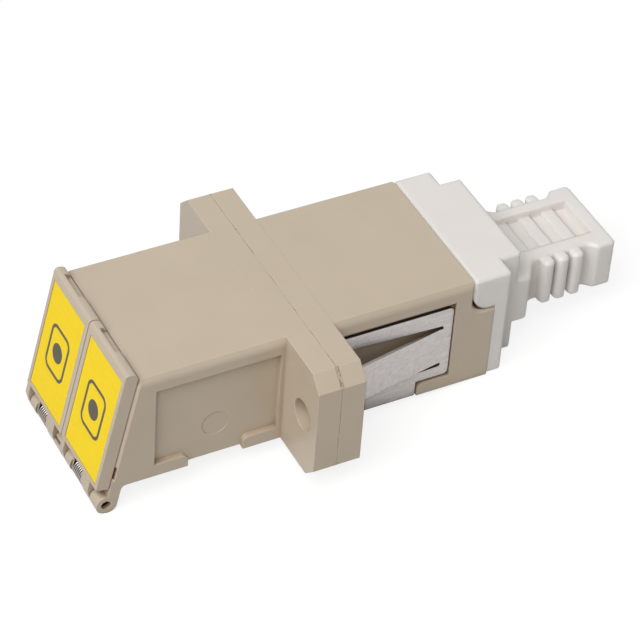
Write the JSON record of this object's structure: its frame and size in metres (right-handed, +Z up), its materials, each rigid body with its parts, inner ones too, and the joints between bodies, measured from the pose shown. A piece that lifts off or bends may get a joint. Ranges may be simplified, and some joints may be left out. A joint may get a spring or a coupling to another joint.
{
  "type": "fibre optic coupler",
  "caption": "Panel-mount duplex fibre optic coupler: beige body with a screw flange, sprung front shutters, a steel panel clip and a white dust cap in the rear ports.",
  "frame": {"origin": "midway between the two flange screw holes, on the flange face that lies against the panel", "axes": "+X across the width, +Y along the ports towards the dust cap, the shutters face -Y, +Z up with the shutters hinged at the bottom"},
  "size_m": [0.022, 0.0422, 0.0121],
  "materials": {
    "beige_plastic": "fine moulded satin",
    "white_plastic": "soft moulded satin",
    "spring_steel": "rolled sheet and drawn wire",
    "white_ceramic": "ground",
    "yellow_film": "printed film"
  },
  "bodies": {
    "coupler_body": {"front_housing": "beige_plastic", "rear_housing": "beige_plastic", "split_sleeve_left": "white_ceramic", "split_sleeve_right": "white_ceramic", "panel_clip": "spring_steel", "hinge_pin": "spring_steel", "torsion_spring_left": "spring_steel", "torsion_spring_right": "spring_steel"},
    "left_shutter": {"shutter_left": "beige_plastic", "sticker_left": "yellow_film"},
    "right_shutter": {"shutter_right": "beige_plastic", "sticker_right": "yellow_film"},
    "cap": {"dust_cap": "white_plastic"}
  },
  "joints": [
    {"name": "shutter_left_hinge", "type": "hinge", "parent": "coupler_body", "child": "left_shutter", "pos_m": [-0.003, -0.01689, -0.006], "axis": [1, 0, 0], "range_deg": [0, 105], "stiffness_Nm_per_rad": 0.00002, "springref_deg": -28.65, "deforming": ["torsion_spring_left"]},
    {"name": "shutter_right_hinge", "type": "hinge", "parent": "coupler_body", "child": "right_shutter", "pos_m": [0.003, -0.01689, -0.006], "axis": [1, 0, 0], "range_deg": [0, 105], "stiffness_Nm_per_rad": 0.00002, "springref_deg": -28.65, "deforming": ["torsion_spring_right"]},
    {"name": "dust_cap_pull", "type": "slide", "parent": "coupler_body", "child": "cap", "axis": [0, 1, 0], "range_m": [0, 0.01]}
  ]
}
